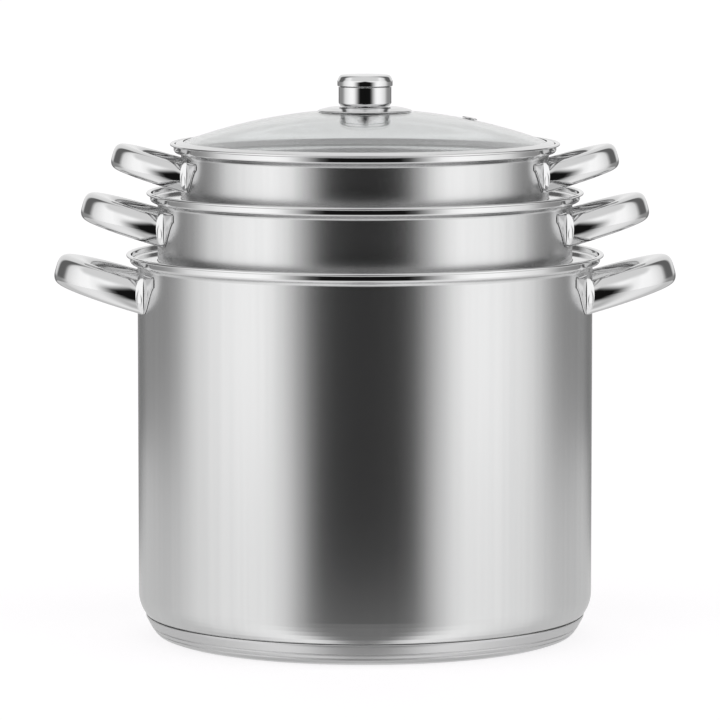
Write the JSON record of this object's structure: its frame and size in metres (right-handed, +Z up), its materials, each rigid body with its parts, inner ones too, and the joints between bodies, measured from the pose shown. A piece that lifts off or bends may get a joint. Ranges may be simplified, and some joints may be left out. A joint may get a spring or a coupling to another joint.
{
  "type": "water bath canner",
  "caption": "Tall stainless water bath canner: stockpot with encapsulated base, nested perforated jar basket and steamer insert, loop handles, domed glass lid with steel knob.",
  "frame": {"origin": "centre of the flat base, where the canner stands on the hob", "axes": "+Z up, the loop handles point along +X and -X, +Y is the depth"},
  "size_m": [0.4086, 0.3148, 0.3715],
  "materials": {
    "brushed_steel": "satin, fine lines round the wall",
    "polished_steel": "mirror polished stainless steel",
    "core_aluminium": "plain pressed aluminium",
    "fastener_steel": "turned stainless steel",
    "lid_glass": "clear tempered glass",
    "gasket_silicone": "matt translucent white silicone"
  },
  "bodies": {
    "pot": {"pot_shell": "brushed_steel", "base_core": "core_aluminium", "base_cap": "polished_steel", "pot_handle_left": "polished_steel", "pot_ear_left_front": "polished_steel", "pot_ear_left_back": "polished_steel", "pot_handle_right": "polished_steel", "pot_ear_right_front": "polished_steel", "pot_ear_right_back": "polished_steel"},
    "basket": {"basket_shell": "brushed_steel", "basket_support_ring": "polished_steel", "basket_handle_left": "polished_steel", "basket_ear_left_front": "polished_steel", "basket_ear_left_back": "polished_steel", "basket_handle_right": "polished_steel", "basket_ear_right_front": "polished_steel", "basket_ear_right_back": "polished_steel"},
    "steamer": {"steamer_shell": "brushed_steel", "steamer_support_ring": "polished_steel", "steamer_handle_left": "polished_steel", "steamer_ear_left_front": "polished_steel", "steamer_ear_left_back": "polished_steel", "steamer_handle_right": "polished_steel", "steamer_ear_right_front": "polished_steel", "steamer_ear_right_back": "polished_steel"},
    "lid": {"lid_glass": "lid_glass", "lid_band": "polished_steel", "vent_eyelet": "polished_steel", "knob_base_plate": "polished_steel", "plate_gasket": "gasket_silicone", "knob_body": "polished_steel", "knob_cap": "polished_steel", "knob_screw": "fastener_steel", "screw_washer": "fastener_steel", "screw_gasket": "gasket_silicone", "knob_nut": "fastener_steel"}
  },
  "joints": [
    {"name": "basket_lift", "type": "slide", "parent": "pot", "child": "basket", "axis": [0, 0, 1], "range_m": [0, 0.28]},
    {"name": "steamer_lift", "type": "slide", "parent": "basket", "child": "steamer", "axis": [0, 0, 1], "range_m": [0, 0.13]},
    {"name": "lid_lift", "type": "slide", "parent": "steamer", "child": "lid", "axis": [0, 0, 1], "range_m": [0, 0.1]}
  ]
}
